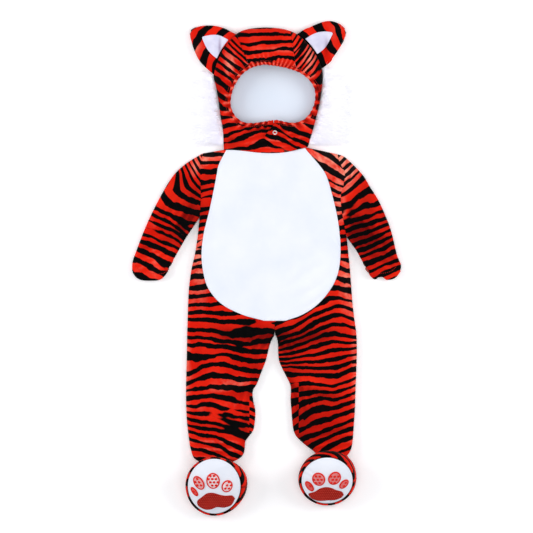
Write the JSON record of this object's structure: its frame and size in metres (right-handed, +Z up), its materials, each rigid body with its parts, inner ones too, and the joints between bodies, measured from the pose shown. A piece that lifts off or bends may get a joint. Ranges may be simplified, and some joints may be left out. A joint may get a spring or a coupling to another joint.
{
  "type": "hooded infant romper",
  "caption": "Footed plush animal romper laid flat, with an eared hood, a white fur mane, a white belly panel and booties with paw print soles",
  "frame": {"origin": "on the surface that the romper lies on, under the middle of its bounding box", "axes": "+X to the viewer's right across the sleeves, +Y from the booties to the hood, +Z up from the surface through the front of the romper"},
  "size_m": [0.4831, 0.8889, 0.06],
  "materials": {
    "striped_velour": "plush velour pile, orange red with black stripes",
    "white_plush": "short white plush",
    "lining": "smooth pale lining",
    "ear_satin": "pale satin",
    "white_fur": "long white fur",
    "paw_print": "printed pads with fine dots",
    "snap_metal": "plated ring"
  },
  "bodies": {
    "root": {"back_left": "striped_velour", "back_right": "striped_velour", "belly_panel": "white_plush", "bootie_sole_left": "white_plush", "bootie_sole_right": "white_plush", "bootie_upper_left": "striped_velour", "bootie_upper_right": "striped_velour", "chin_snap": "snap_metal", "ear_back_left": "striped_velour", "ear_back_right": "striped_velour", "ear_front_left": "striped_velour", "ear_front_right": "striped_velour", "ear_inner_left": "ear_satin", "ear_inner_right": "ear_satin", "face_casing": "striped_velour", "front_left": "striped_velour", "front_right": "striped_velour", "hood_back": "striped_velour", "hood_crown": "striped_velour", "hood_lining": "lining", "hood_side_left": "striped_velour", "hood_side_right": "striped_velour", "mane_left": "white_fur", "mane_right": "white_fur", "paw_pad_left": "paw_print", "paw_pad_right": "paw_print", "sleeve_back_left": "striped_velour", "sleeve_back_right": "striped_velour", "sleeve_front_left": "striped_velour", "sleeve_front_right": "striped_velour", "toe_pad_left_1": "paw_print", "toe_pad_left_2": "paw_print", "toe_pad_left_3": "paw_print", "toe_pad_left_4": "paw_print", "toe_pad_right_1": "paw_print", "toe_pad_right_2": "paw_print", "toe_pad_right_3": "paw_print", "toe_pad_right_4": "paw_print"}
  },
  "joints": []
}
